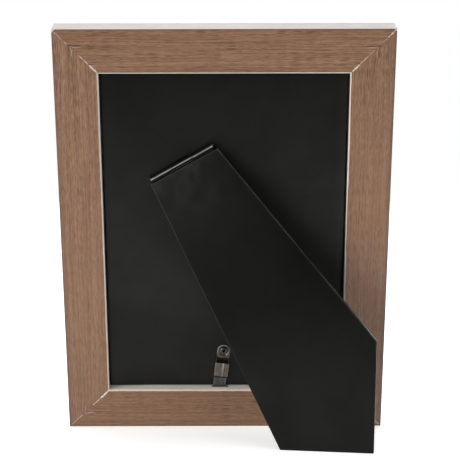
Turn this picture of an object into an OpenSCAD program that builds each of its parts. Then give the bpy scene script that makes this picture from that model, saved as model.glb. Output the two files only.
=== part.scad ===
// Table-top picture frame for a 127 x 178 mm photo, seen open on its easel leg.
// World axes: +Z up, front of the frame towards -Y, easel leg towards +Y.
// Origin: on the table, under the middle of the whole object.
// All pieces are drawn in "back view" axes: u to the right seen from behind,
// v up along the frame from its bottom edge, w outwards from the rails' back faces.

/* [Frame] */
// Outer width of the frame
frame_w = 175; // [170:1:185]
// Outer height of the frame
frame_h = 227; // [222:1:235]
// Thickness of the moulding, front to back
frame_t = 14; // [14:0.5:18]
// Width of the moulding from its outer edge to the rebate wall
rail_w = 23; // [20:0.5:24]
// How far the front lip reaches inwards past the rebate wall
lip_w = 5.5; // [4:0.5:8]
// Thickness of the front lip
lip_t = 3; // [2.5:0.5:3]
// Painted chamfer on the inner back edge
chamfer = 0.9; // [0.4:0.1:1.2]

/* [Stand] */
// How far the frame leans back from upright, in degrees
lean = 15; // [12:0.5:17]
// How far the leg stands open from the back board, in degrees
leg_open = 18.5; // [17:0.5:20]
// Width of the leg at its hinge
leg_top_w = 40.6; // [39:0.2:42]
// Thickness of the leg board
leg_t = 2.8; // [2.4:0.1:3.2]
// Slant of the hinge line across the back board, in degrees
hinge_slant = 29.8; // [28:0.1:31]

/* [Glazing and boards] */
// Thickness of the glass
glass_t = 2; // [1.8:0.1:2]
// Thickness of the back board
board_t = 2.5; // [2.3:0.1:2.6]
// Depth of the back board's surface below the rails' back faces
recess = 5; // [4.8:0.1:5.2]

/* [Latch] */
// Tilt of the latch from upright, in degrees
latch_tilt = 7.3; // [6:0.1:8]
// Height of the thumb pad above the back board
pad_h = 2.5; // [2.4:0.1:2.7]

/* [Hidden] */
$fn = 48;
e = 0.01;

// rebate and sight openings
open_w = frame_w - 2 * rail_w;
open_h = frame_h - 2 * rail_w;

// stack between the lip and the back board, from the front
card_t = 1.2;
photo_t = 0.25;
board_back = -recess;
board_front = board_back - board_t;
card_front = board_front - card_t;
photo_front = card_front - photo_t;
glass_front = photo_front - glass_t;
board_w = open_w - 1.4;
board_h = open_h - 1.4;

// hinge: axis start in back view, height above the back board, knuckle sizes
hinge_u = -39.2;
hinge_v = frame_h - 81.5;
axis_h = 1.4;
hinge_w = board_back + axis_h;
hinge_len = 38.3;
pin_r = 0.8;
knuckle_r = 1.35;
sheet = 0.5;
head_t = 0.4;
split_a = 12.1;
split_b = 25.9;
leg_in = 1.3;
leg_out = leg_in + leg_t;

// leg outline in hinge axes: s along the hinge, t down the leg
leg_top_s = -0.3;
leg_top_t = 2.7;
knee_s = 66;
knee_t = 129.9;
foot_a_s = 36.6;
foot_b_s = -6.5;
// t at which the inner face of the open leg meets the table, at s along the hinge
function foot_t(s) =
    ((hinge_v + s * sin(hinge_slant) + leg_in * cos(hinge_slant) * sin(leg_open)) * cos(lean)
     - (hinge_w + leg_in * cos(leg_open)) * sin(lean))
    / (cos(hinge_slant) * cos(leg_open) * cos(lean) + sin(leg_open) * sin(lean));

// latch: rivet centre in back view, eyelet radii, travel
latch_u = -0.6;
latch_v = 45.05;
eyelet_r = 1.85;
latch_bore_r = 1.9;
latch_half = 4;
slider_half = 3.5;

// middle of the object's footprint
y_shift = -(frame_h * sin(lean) - frame_t * cos(lean)) / 2;

// back-view axes to world axes, standing on the table
module place() {
    translate([0, y_shift, 0]) rotate([-lean, 0, 0]) rotate([90, 0, 180]) children();
}
// hinge axes: x along the hinge, y away from the leg, z out of the board
module at_hinge() {
    translate([hinge_u, hinge_v, hinge_w]) rotate([0, 0, hinge_slant]) children();
}
// latch axes: origin at the rivet on the board's surface, y towards the rivet end
module at_latch() {
    translate([latch_u, latch_v, board_back]) rotate([0, 0, -latch_tilt]) children();
}

// ---- frame rails ----
// L-shaped moulding along x, outer edge at y = 0, back face at z = 0, mitred ends
module moulding(len) {
    reach = rail_w + lip_w;
    intersection() {
        translate([-len / 2 - 1, 0, 0]) rotate([90, 0, 90]) linear_extrude(len + 2)
            polygon([[0, 0], [0, -frame_t], [reach - 0.8, -frame_t], [reach, -frame_t + 0.8],
                     [reach, -frame_t + lip_t], [rail_w, -frame_t + lip_t],
                     [rail_w, -chamfer], [rail_w - chamfer, 0]]);
        translate([0, 0, -frame_t - 1]) linear_extrude(frame_t + 2)
            polygon([[-len / 2, 0], [len / 2, 0], [len / 2 - reach - 5, reach + 5],
                     [-len / 2 + reach + 5, reach + 5]]);
    }
}
// corner positions and quarter turns, clockwise from bottom left
corners = [[-frame_w / 2, 0, 0], [frame_w / 2, 0, 90],
           [frame_w / 2, frame_h, 180], [-frame_w / 2, frame_h, 270]];
// one V-nail: its edge seen from behind, apex towards the frame's corner
nail_at = 8.5;
nail_arm = 6.6;
nail_t = 0.55;
nail_depth = 7;
function bow(i) = 0.35 * sin(180 * i / 6);
nail_outer = [for (i = [6:-1:0]) [i * nail_arm / 6, bow(i) + (i == 6 ? 0.5 : 0)]];
module nail_outline() {
    // arm along x, then the mirrored arm along y
    pts = concat(nail_outer,
                 [for (i = [1:6]) [bow(i) + (i == 6 ? 0.5 : 0), i * nail_arm / 6]],
                 [for (i = [6:-1:1]) [bow(i) + nail_t + (i == 6 ? 0.2 : 0), i * nail_arm / 6 - (i == 6 ? 0.1 : 0)]],
                 [[nail_t + 0.12, nail_t + 0.12]],
                 [for (i = [1:6]) [i * nail_arm / 6 - (i == 6 ? 0.1 : 0), bow(i) + nail_t + (i == 6 ? 0.2 : 0)]]);
    polygon(pts);
}
module nails(top) {
    for (c = corners) translate([c[0], c[1], -nail_depth]) rotate([0, 0, c[2]])
        translate([nail_at, nail_at, 0]) linear_extrude(nail_depth + top) nail_outline();
}
module rail_piece(len, u, v, turn, col) {
    color(col) place() difference() {
        translate([u, v, 0]) rotate([0, 0, turn]) moulding(len);
        nails(1);
        children();
    }
}
module rail_top() {
    rail_piece(frame_w, 0, frame_h, 180, [0.55, 0.43, 0.35])
        for (s = [-1, 1]) translate([s * 38 - 6.5, frame_h - rail_w - e, board_front - 0.15])
            cube([13, 3, 0.8]);
}
module rail_bottom() {
    rail_piece(frame_w, 0, 0, 0, [0.55, 0.43, 0.35])
        translate([-7.4, rail_w - 2.6, board_back + 0.4]) cube([9.15, 2.6 + e, 2.3]);
}
module rail_left() { rail_piece(frame_h, -frame_w / 2, frame_h / 2, 270, [0.55, 0.43, 0.35]); }
module rail_right() { rail_piece(frame_h, frame_w / 2, frame_h / 2, 90, [0.55, 0.43, 0.35]); }
module corner_v_nails() { color([0.3, 0.27, 0.25]) place() nails(-0.05); }

// ---- what the rebate holds ----
module sheet_piece(w, h, front, t) {
    translate([-w / 2, frame_h / 2 - h / 2, front]) cube([w, h, t]);
}
module glass_pane() {
    color([0.8, 0.9, 0.9, 0.4]) place() sheet_piece(open_w - 1.5, open_h - 1.5, glass_front, glass_t);
}
module photo_sheet() {
    color([0.95, 0.95, 0.93]) place() sheet_piece(open_w - 2, open_h - 3, photo_front, photo_t);
}
module filler_card() {
    color([0.75, 0.73, 0.68]) place() sheet_piece(open_w - 1.8, open_h - 1.8, card_front, card_t);
}
// tab plates at the top edge of the board, with one prong each
module tab_shapes() {
    for (s = [-1, 1]) translate([s * 38, frame_h / 2 + board_h / 2, board_front]) {
        translate([-6, -10, 0]) cube([12, 12.2, sheet]);
        translate([-3, -8, 0]) cube([6, 0.5, 1.8]);
    }
}
module back_board() {
    color([0.13, 0.13, 0.12]) place() difference() {
        sheet_piece(board_w, board_h, board_front, board_t);
        tab_shapes();
        at_latch() translate([0, 0, -board_t - 1]) cylinder(r = eyelet_r, h = board_t + 2);
        at_latch() translate([0, 0, -board_t - e]) cylinder(r = 2.6, h = 0.5 + e);
        at_hinge() for (x = [9, 29]) {
            translate([x, -9, -axis_h - board_t - 1]) cylinder(r = 1.2, h = board_t + 2);
            translate([x, -9, -axis_h - board_t - e]) cylinder(r = 1.8, h = 0.5 + e);
        }
    }
}
module board_tabs() { color([0.6, 0.6, 0.6]) place() tab_shapes(); }

// ---- hinge ----
module knuckle(x0, x1, bore) {
    translate([x0, 0, 0]) rotate([0, 90, 0]) difference() {
        cylinder(r = knuckle_r, h = x1 - x0);
        translate([0, 0, -1]) cylinder(r = bore, h = x1 - x0 + 2);
    }
}
module hinge_board_leaf() {
    color([0.35, 0.35, 0.35]) place() at_hinge() difference() {
        union() {
            knuckle(head_t, split_a - 0.1, pin_r);
            knuckle(split_b + 0.1, hinge_len - head_t, pin_r);
            for (x = [[head_t, split_a - 0.1], [split_b + 0.1, hinge_len - head_t]])
                translate([x[0], -2.6, -axis_h]) cube([x[1] - x[0], 2.2, sheet]);
            translate([head_t, -14, -axis_h]) cube([hinge_len - 2 * head_t, 11.8, sheet]);
        }
        for (x = [9, 29]) translate([x, -9, -axis_h - 1]) cylinder(r = 1.2, h = 3);
    }
}
module hinge_rivets() {
    color([0.5, 0.5, 0.5]) place() at_hinge() for (x = [9, 29]) translate([x, -9, -axis_h])
        rotate_extrude() polygon([[0, sheet + 0.7], [0.9, sheet + 0.6], [1.5, sheet + 0.35],
            [1.8, sheet], [1.2, sheet], [1.2, -board_t + 0.5], [1.8, -board_t + 0.5],
            [1.8, -board_t], [0, -board_t]]);
}
module hinge_pin() {
    color([0.6, 0.6, 0.6]) place() at_hinge() rotate([0, 90, 0]) union() {
        cylinder(r = pin_r, h = hinge_len);
        cylinder(r = 1.15, h = head_t);
        translate([0, 0, hinge_len - head_t]) cylinder(r = 1.15, h = head_t);
    }
}
// prongs of the leg leaf, pressed into the leg's inner face
module prongs() {
    for (x = [7, 15, 23, 31]) translate([x - 1, -14, leg_in]) cube([2, sheet, 1.6]);
}
module hinge_leg_leaf() {
    color([0.35, 0.35, 0.35]) place() at_hinge() union() {
        // stop lip under the knuckle, flat on the back board while the leg is open
        translate([15, 0.95, -axis_h + 0.1]) cube([8, 1.05, 0.6]);
        rotate([-leg_open, 0, 0]) {
            knuckle(split_a, split_b, pin_r + 0.05);
            translate([split_a, -3, leg_in - sheet]) cube([split_b - split_a, 2.55, sheet]);
            translate([0.8, -16, leg_in - sheet]) cube([hinge_len - 1.6, 14.4, sheet]);
            prongs();
        }
    }
}

// ---- leg ----
module leg_board() {
    color([0.14, 0.14, 0.14]) place() at_hinge() rotate([-leg_open, 0, 0]) difference() {
        translate([0, 0, leg_in]) linear_extrude(leg_t)
            polygon([[leg_top_s, -leg_top_t], [leg_top_s + leg_top_w, -leg_top_t], [knee_s, -knee_t],
                     [foot_a_s, -foot_t(foot_a_s)], [foot_b_s, -foot_t(foot_b_s)]]);
        prongs();
    }
}

// ---- latch ----
module latch_rivet() {
    color([0.4, 0.36, 0.33]) place() at_latch() rotate_extrude()
        polygon([[0.9, -board_t], [0.9, 0.85], [1.3, 1.05], [1.9, 1.05], [2.4, 0.75], [2.4, 0.6],
                 [eyelet_r, 0.6], [eyelet_r, -board_t + 0.5], [2.6, -board_t + 0.5], [2.6, -board_t]]);
}
module latch_base() {
    color([0.38, 0.34, 0.31]) place() at_latch() difference() {
        union() {
            cylinder(r = 3.87, h = sheet);
            translate([-3.87, -4.4, 0]) cube([7.74, 4.4, sheet]);
            translate([-latch_half, -15.4, 0]) cube([2 * latch_half, 11.4, sheet]);
            for (s = [0, 1]) mirror([s, 0, 0]) {
                translate([3.6, -15.4, 0]) cube([0.4, 11.4, 1.75]);
                translate([3.15, -15.4, 1.37]) cube([0.85, 11.4, 0.38]);
            }
        }
        translate([0, 0, -1]) cylinder(r = latch_bore_r, h = 3);
        translate([-3.2, -12, -1]) cube([6.4, 7.5, 1 + sheet + e]);
    }
}
module latch_slider() {
    color([0.45, 0.4, 0.37]) place() at_latch() union() {
        // plate and tongue, end in the slot of the bottom rail
        translate([-slider_half, -24.1, 0.62]) cube([2 * slider_half, 17.1, 0.64]);
        translate([-3, -15.2, 1.2]) cube([6, 8.2, 0.75]);
        // thumb pad, crowned across
        intersection() {
            translate([-latch_half, -15.2, 1.9]) cube([2 * latch_half, 8.2, pad_h - 1.9]);
            translate([0, -7, pad_h - 15]) rotate([90, 0, 0]) cylinder(r = 15, h = 9, $fn = 160);
        }
    }
}

rail_top();
rail_bottom();
rail_left();
rail_right();
corner_v_nails();
glass_pane();
photo_sheet();
filler_card();
back_board();
board_tabs();
hinge_board_leaf();
hinge_rivets();
hinge_pin();
latch_rivet();
hinge_leg_leaf();
leg_board();
latch_base();
latch_slider();
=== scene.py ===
import math

import bmesh
import bpy
from mathutils import Matrix, Vector, noise
from mathutils.geometry import tessellate_polygon


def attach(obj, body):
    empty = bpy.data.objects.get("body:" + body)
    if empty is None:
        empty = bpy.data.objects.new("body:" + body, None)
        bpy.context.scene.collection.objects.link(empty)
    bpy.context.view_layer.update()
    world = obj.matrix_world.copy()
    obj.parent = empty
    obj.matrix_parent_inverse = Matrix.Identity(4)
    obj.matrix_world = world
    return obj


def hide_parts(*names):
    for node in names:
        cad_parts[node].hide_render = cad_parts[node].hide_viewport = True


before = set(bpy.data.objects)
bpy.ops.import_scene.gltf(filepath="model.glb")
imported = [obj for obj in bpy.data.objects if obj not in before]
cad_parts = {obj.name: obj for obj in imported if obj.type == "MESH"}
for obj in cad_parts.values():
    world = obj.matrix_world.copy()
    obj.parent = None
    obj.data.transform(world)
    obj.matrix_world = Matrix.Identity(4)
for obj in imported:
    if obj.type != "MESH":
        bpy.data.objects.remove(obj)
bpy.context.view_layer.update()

# Lengths in this script are in millimetres until a mesh is finished; Blender's own are metres.
MM = 0.001

# ---------------------------------------------------------------- places
# Back-view axes: u to the right seen from behind, v up along the frame, w out of the rails' back faces.
FRAME_W, FRAME_H, FRAME_T, RAIL_W = 175.0, 227.0, 14.0, 23.0
LEAN = 15.0
Y_SHIFT = -(FRAME_H * math.sin(math.radians(LEAN)) - FRAME_T * math.cos(math.radians(LEAN))) / 2


def rot(angle, axis):
    return Matrix.Rotation(math.radians(angle), 4, axis)


def tr(x, y, z):
    return Matrix.Translation((x * MM, y * MM, z * MM))


def axes(x, y, z):
    """A rotation whose columns are the places of the local X, Y and Z axes."""
    return Matrix((x, y, z)).transposed().to_4x4()


PLACE = tr(0, Y_SHIFT, 0) @ rot(-LEAN, "X") @ rot(180, "Z") @ rot(90, "X")
HINGE = PLACE @ tr(-39.2, 145.5, -3.6) @ rot(29.8, "Z")
OPEN = 18.5
LEG = HINGE @ rot(-OPEN, "X")
LATCH = PLACE @ tr(-0.6, 45.05, -5.0) @ rot(-7.3, "Z")
ALONG_X = axes((0, 1, 0), (0, 0, 1), (1, 0, 0))      # outline in y and z, drawn out along x
DOWN_Y = axes((1, 0, 0), (0, 0, 1), (0, -1, 0))      # outline in x and z, drawn out towards -y


# ---------------------------------------------------------------- camera and light
def look():
    """The camera of the photograph's view, from the fitted pose of the frame's back face."""
    th, ya, ro = 0.36731, -0.00217, -0.00191
    r = Matrix.Rotation(ro, 3, "Z") @ Matrix.Rotation(ya, 3, "Y") @ Matrix.Rotation(th, 3, "X")
    right, down, ahead = (Vector((row[0], -row[1], -row[2])) for row in r)
    turn = PLACE.to_3x3() @ Matrix((right, -down, -ahead)).transposed()
    cam = bpy.data.objects.new("camera", bpy.data.cameras.new("camera"))
    bpy.context.scene.collection.objects.link(cam)
    cam.data.sensor_width, cam.data.sensor_fit = 36, "HORIZONTAL"
    cam.data.lens = 109.705
    cam.data.clip_start, cam.data.clip_end = 0.02, 30
    cam.matrix_world = Matrix.Translation(PLACE @ (Vector((1.20173, 386.55443, 697.00913)) * MM)) @ turn.to_4x4()
    bpy.context.scene.camera = cam


def sun(name, towards, energy, angle, colour=(1, 1, 1)):
    lamp = bpy.data.lights.new(name, "SUN")
    lamp.energy, lamp.angle, lamp.color = energy, math.radians(angle), colour
    o = bpy.data.objects.new(name, lamp)
    bpy.context.scene.collection.objects.link(o)
    o.rotation_euler = Vector(towards).to_track_quat("Z", "Y").to_euler()


def studio():
    sun("key_light", (0.78, 0.58, 0.22), 2.44, 45, (1.0, 0.99, 0.95))
    sun("side_fill", (-0.72, 0.66, 0.20), 1.08, 50, (0.96, 0.99, 1.06))
    sun("overhead", (0.05, -0.15, 0.99), 1.7, 50)
    sun("front_fill", (-0.35, -0.90, 0.25), 1.5, 60)
    world = bpy.data.worlds.new("studio")
    bpy.context.scene.world = world
    world.use_nodes = True
    t = world.node_tree
    t.nodes.clear()
    seen = t.nodes.new("ShaderNodeBackground")
    seen.inputs["Color"].default_value = (1, 1, 1, 1)
    seen.inputs["Strength"].default_value = 1.0
    soft = t.nodes.new("ShaderNodeBackground")
    soft.inputs["Color"].default_value = (1.0, 0.995, 0.985, 1)
    soft.inputs["Strength"].default_value = 0.12
    ray = t.nodes.new("ShaderNodeLightPath")
    mix = t.nodes.new("ShaderNodeMixShader")
    out = t.nodes.new("ShaderNodeOutputWorld")
    t.links.new(ray.outputs["Is Camera Ray"], mix.inputs[0])
    t.links.new(soft.outputs[0], mix.inputs[1])
    t.links.new(seen.outputs[0], mix.inputs[2])
    t.links.new(mix.outputs[0], out.inputs[0])
    scene = bpy.context.scene
    scene.view_settings.view_transform = "Standard"
    scene.view_settings.look = "None"
    scene.view_settings.exposure = 0
    scene.view_settings.gamma = 1


# ---------------------------------------------------------------- materials
class Shader:
    """A Principled material made of nodes on the piece's own coordinates, in metres."""

    def __init__(self, name):
        self.mat = bpy.data.materials.new(name)
        self.mat.use_nodes = True
        self.tree = self.mat.node_tree
        self.tree.nodes.clear()
        self.out = self.node("ShaderNodeOutputMaterial")
        self.bsdf = self.node("ShaderNodeBsdfPrincipled")
        self.link(self.bsdf.outputs[0], self.out.inputs[0])
        self.xyz = self.node("ShaderNodeTexCoord").outputs["Object"]

    def node(self, kind, **values):
        n = self.tree.nodes.new(kind)
        for key, value in values.items():
            setattr(n, key, value)
        return n

    def link(self, a, b):
        self.tree.links.new(a, b)

    def feed(self, socket, value):
        if isinstance(value, bpy.types.NodeSocket):
            self.link(value, socket)
        elif isinstance(value, (tuple, list)) and len(value) == 3 and socket.type == "RGBA":
            socket.default_value = (*value, 1)
        else:
            socket.default_value = value

    def set(self, **values):
        for key, value in values.items():
            self.feed(self.bsdf.inputs[key.replace("_", " ")], value)

    def scaled(self, vec, scale, loc=(0, 0, 0)):
        n = self.node("ShaderNodeMapping")
        n.inputs["Scale"].default_value = scale
        n.inputs["Location"].default_value = loc
        self.link(vec, n.inputs["Vector"])
        return n.outputs[0]

    def noise(self, vec, scale=1.0, detail=2.0, rough=0.5, warp=0.0):
        n = self.node("ShaderNodeTexNoise")
        self.link(vec, n.inputs["Vector"])
        for key, value in (("Scale", scale), ("Detail", detail), ("Roughness", rough), ("Distortion", warp)):
            n.inputs[key].default_value = value
        return n.outputs[0]

    def cells(self, vec, scale=1.0, flat=False, feature="F1"):
        n = self.node("ShaderNodeTexVoronoi", feature=feature, voronoi_dimensions="2D" if flat else "3D")
        self.link(vec, n.inputs["Vector"])
        n.inputs["Scale"].default_value = scale
        return n.outputs["Distance"], n.outputs["Color"]

    def math(self, op, a, b=0.0, c=0.0, clamp=False):
        n = self.node("ShaderNodeMath", operation=op, use_clamp=clamp)
        for socket, value in zip(n.inputs, (a, b, c)):
            self.feed(socket, value)
        return n.outputs[0]

    def span(self, fac, a, b, c=0.0, d=1.0, smooth=True):
        """fac from a to b becomes c to d, held at the ends."""
        n = self.node("ShaderNodeMapRange", interpolation_type="SMOOTHSTEP" if smooth else "LINEAR")
        for socket, value in zip(n.inputs, (fac, a, b, c, d)):
            self.feed(socket, value)
        return n.outputs[0]

    def mix(self, fac, a, b, blend="MIX"):
        n = self.node("ShaderNodeMix", data_type="RGBA", blend_type=blend)
        self.feed(n.inputs[0], fac)
        self.feed(n.inputs[6], a)
        self.feed(n.inputs[7], b)
        return n.outputs[2]

    def split(self, vec):
        n = self.node("ShaderNodeSeparateXYZ")
        self.link(vec, n.inputs[0])
        return n.outputs

    def join(self, x, y, z):
        n = self.node("ShaderNodeCombineXYZ")
        for socket, value in zip(n.inputs, (x, y, z)):
            self.feed(socket, value)
        return n.outputs[0]

    def bump(self, *layers):
        """layers of (height socket, distance in metres); the last one lies on top."""
        normal = None
        for height, distance in layers:
            n = self.node("ShaderNodeBump")
            n.inputs["Strength"].default_value = 1.0
            n.inputs["Distance"].default_value = distance
            self.link(height, n.inputs["Height"])
            if normal is not None:
                self.link(normal, n.inputs["Normal"])
            normal = n.outputs[0]
        self.link(normal, self.bsdf.inputs["Normal"])


def wood(name, seed, tint=(1, 1, 1), laps=(0.0, 0.0, 0.0), painted_falloff_rate=(0.0, 0.0), depth=1.0, ease=None, painted_shadow_x=None, painted_edge_light=False):
    """Open-pored brown wood, grain along x. laps are the rail's half length and how far the side's white paint
    laps over the outer corners at its +x and -x ends, in metres. fall is painted light: the gradual change of tone
    along the rail, per metre, and where it is nought; depth is the strength of the grain, and ease is (x, x, share):
    past the first x it eases off, to that share at the second. Below x = cool the wood is painted bluer and greyer,
    then darker: a painted shadow of the leg. worn greys the outer edge band: painted shade."""
    s = Shader(name)
    raw = s.split(s.xyz)
    moved = s.scaled(s.xyz, (1, 1, 1), (seed * 0.731, seed * 0.213, seed * 0.117))
    at = s.split(moved)
    wave = s.noise(s.scaled(moved, (13, 55, 55)), 1, 2, 0.5)
    y = s.math("ADD", at[1], s.math("MULTIPLY", s.math("SUBTRACT", wave, 0.5), 0.0034))
    grain = s.join(at[0], y, at[2])
    band = s.noise(s.scaled(grain, (8, 260, 260)), 1, 2, 0.5)
    long = s.noise(s.scaled(grain, (13, 1750, 1750), (4.1, 2.2, 0)), 1, 1, 0.5)
    streak = s.noise(s.scaled(grain, (60, 1600, 1600)), 1, 2, 0.6)
    thin = s.noise(s.scaled(grain, (330, 2150, 2150), (1.7, 4.4, 0)), 1, 2, 0.6)
    fibre = s.noise(s.scaled(grain, (420, 4600, 4600)), 1, 2, 0.6)
    hue = s.noise(s.scaled(grain, (14, 190, 190), (3.1, 0.7, 0)), 1, 2, 0.5)
    dist, pick = s.cells(s.scaled(grain, (125, 1300, 1)), 1, flat=True)
    keep = s.split(pick)
    pore = s.math("MULTIPLY", s.span(dist, 0.44, 0.16), s.span(keep[0], 0.50, 0.80))
    dist2, pick2 = s.cells(s.scaled(grain, (250, 1900, 1), (5.3, 2.9, 0)), 1, flat=True)
    fine = s.math("MULTIPLY", s.span(dist2, 0.40, 0.12), s.span(s.split(pick2)[1], 0.40, 0.8))
    patch = s.span(s.noise(s.scaled(grain, (30, 170, 170), (0.4, 8.2, 0)), 1, 1, 0.5), 0.36, 0.62, 0.25, 1.0)
    pore = s.math("MULTIPLY", pore, patch)

    def stain(*c):
        return tuple(a * b for a, b in zip(c, tint))

    def ends(*c):
        return tuple(1 + (a - 1) * depth for a in c)

    power = s.span(raw[0], ease[0], ease[1], 1.0, ease[2], smooth=False) if ease else 1.0
    colour = s.mix(s.span(band, 0.36, 0.64), stain(0.200, 0.1070, 0.0640), stain(0.212, 0.1165, 0.0715))
    colour = s.mix(s.span(hue, 0.44, 0.66, 0, 0.5), colour, stain(0.215, 0.108, 0.070))
    colour = s.mix(s.span(hue, 0.46, 0.30, 0, 0.5), colour, stain(0.196, 0.113, 0.060))
    colour = s.mix(power, colour, s.mix(s.span(long, 0.30, 0.70), ends(0.83, 0.82, 0.81), ends(1.16, 1.165, 1.17)), "MULTIPLY")
    colour = s.mix(power, colour, s.mix(s.span(streak, 0.32, 0.68), ends(0.90, 0.895, 0.89), ends(1.09, 1.095, 1.10)), "MULTIPLY")
    colour = s.mix(power, colour, s.mix(s.span(thin, 0.32, 0.68), ends(0.83, 0.825, 0.82), ends(1.16, 1.165, 1.17)), "MULTIPLY")
    colour = s.mix(1.0, colour, s.mix(s.span(fibre, 0.3, 0.7), (0.94, 0.94, 0.94), (1.06, 1.06, 1.06)), "MULTIPLY")
    dark = s.math("MULTIPLY", pore, s.math("MULTIPLY", power, 0.80 * min(depth, 0.88)) if ease else 0.80 * depth)
    colour = s.mix(dark, colour, stain(0.095, 0.041, 0.021))
    colour = s.mix(s.math("MULTIPLY", fine, 0.25), colour, stain(0.105, 0.052, 0.030))
    # painted light: the tone changes gradually along the rail, standing in for light fading along it
    painted_light_falloff = s.math("MULTIPLY_ADD", s.math("ADD", raw[0], -painted_falloff_rate[1]), painted_falloff_rate[0], 1.0)
    colour = s.mix(1.0, colour, s.join(painted_light_falloff, painted_light_falloff, painted_light_falloff), "MULTIPLY")
    # painted shadow of the leg: past this x the wood turns bluer and greyer, then darker
    if painted_shadow_x is not None:
        colour = s.mix(1.0, colour, s.mix(s.span(raw[0], painted_shadow_x + 0.012, painted_shadow_x - 0.028), (1.0, 1.0, 1.0), (1.035, 1.09, 1.215)), "MULTIPLY")
        colour = s.mix(1.0, colour, s.mix(s.span(raw[0], painted_shadow_x - 0.036, painted_shadow_x - 0.060), (1.0, 1.0, 1.0), (0.87, 0.915, 0.865)), "MULTIPLY")
    # painted shade: a grey band along the outer edge
    if painted_edge_light:
        colour = s.mix(1.0, colour, s.mix(s.span(raw[1], 0.0034, 0.0012), (1.0, 1.0, 1.0), (0.85, 0.88, 0.955)), "MULTIPLY")
    # painted shade of the outer edge's rounding, darker within 1.6 mm of it
    edge = s.span(raw[1], 0.0016, 0.0, 0, 0.50)
    colour = s.mix(edge, colour, (0.110, 0.068, 0.046))
    rough = s.span(streak, 0.3, 0.7, 0.68, 0.56, smooth=False)
    for sign, size in ((-1, laps[1]), (1, laps[2])):
        if size:
            off = s.math("MULTIPLY_ADD", raw[0], sign, laps[0])
            rag = s.math("MULTIPLY", s.math("SUBTRACT", s.noise(moved, 900, 2, 0.6), 0.5), 0.0011)
            lap = s.math("ADD", s.math("ADD", off, raw[1]), rag)
            colour = s.mix(s.span(lap, size + 0.00012, size - 0.00012), colour, (0.60, 0.535, 0.49))
    s.set(Base_Color=colour, Roughness=rough, Specular_IOR_Level=0.28)
    deep = s.math("MULTIPLY", s.math("MAXIMUM", pore, s.math("MULTIPLY", fine, 0.6)), -1.0)
    s.bump((deep, 0.00007), (fibre, 0.00003), (streak, 0.00003))
    return s.mat


def paint(name, base, speck, seed=0.0, rough=0.48, painted_shade_depth=None, rim=False):
    """Sprayed off-white lacquer on wood: faint grain telegraphs through, with a little grime.
    bare is the depth, in metres, below which the wall is painted dark: painted shade of the deep rebate, given the
    look of raw wood where the coat runs out. rim paints shade on a rail's outer front edge and light that changes
    along the rail, and browns a thin strip of the side along the wood back."""
    s = Shader(name)
    at = s.scaled(s.xyz, (1, 1, 1), (seed, seed * 0.7, seed * 0.3))
    peel = s.noise(at, 950, 2, 0.5)
    grain = s.noise(s.scaled(at, (70, 1500, 1500)), 1, 2, 0.55)
    cloud = s.noise(at, 55, 3, 0.55)
    grime = s.span(s.noise(at, 420, 4, 0.65), 0.60, 0.78, 0, 0.35)
    tone = s.mix(s.span(cloud, 0.35, 0.65), tuple(c * 0.955 for c in base), tuple(min(c * 1.03, 0.95) for c in base))
    tone = s.mix(grime, tone, speck)
    if painted_shade_depth is not None:
        # painted shade: below the given depth the rebate wall turns dark, like raw wood where the coat runs out
        depth = s.math("ADD", s.split(s.xyz)[2], s.math("MULTIPLY", s.math("SUBTRACT", cloud, 0.5), 0.0006))
        tone = s.mix(s.span(depth, painted_shade_depth + 0.0003, painted_shade_depth - 0.0003), tone, (0.045, 0.027, 0.018))
    if rim:
        raw = s.split(s.xyz)
        # painted shade on the rounding of the outer front edge
        painted_edge_light = s.math("MULTIPLY", s.span(raw[2], -0.0118, -0.0133), s.span(raw[1], 0.0009, 0.0004))
        tone = s.mix(s.math("MULTIPLY", painted_edge_light, s.span(grime, 0.0, 0.3, 0.50, 0.8)), tone, (0.40, 0.345, 0.325))
        # painted light: brighter towards +x along the rail
        painted_light_falloff = s.math("MULTIPLY_ADD", raw[0], 1.35, 1.0)
        tone = s.mix(1.0, tone, s.join(painted_light_falloff, painted_light_falloff, painted_light_falloff), "MULTIPLY")
        # a thin brownish strip of the side along the wood back, wider towards -x
        thin = s.math("ADD", s.math("MULTIPLY_ADD", raw[0], -0.0045, 0.0002), s.math("MULTIPLY", s.math("SUBTRACT", cloud, 0.5), 0.0006))
        short = s.math("ADD", s.math("ADD", raw[2], 0.0003), thin)
        tone = s.mix(s.span(short, -0.0001, 0.0001), tone, (0.21, 0.145, 0.105))
    s.set(Base_Color=tone, Roughness=s.span(peel, 0.3, 0.7, rough + 0.06, rough - 0.06, smooth=False), Specular_IOR_Level=0.4)
    s.bump((grain, 0.00002), (peel, 0.00002))
    return s.mat


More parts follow.
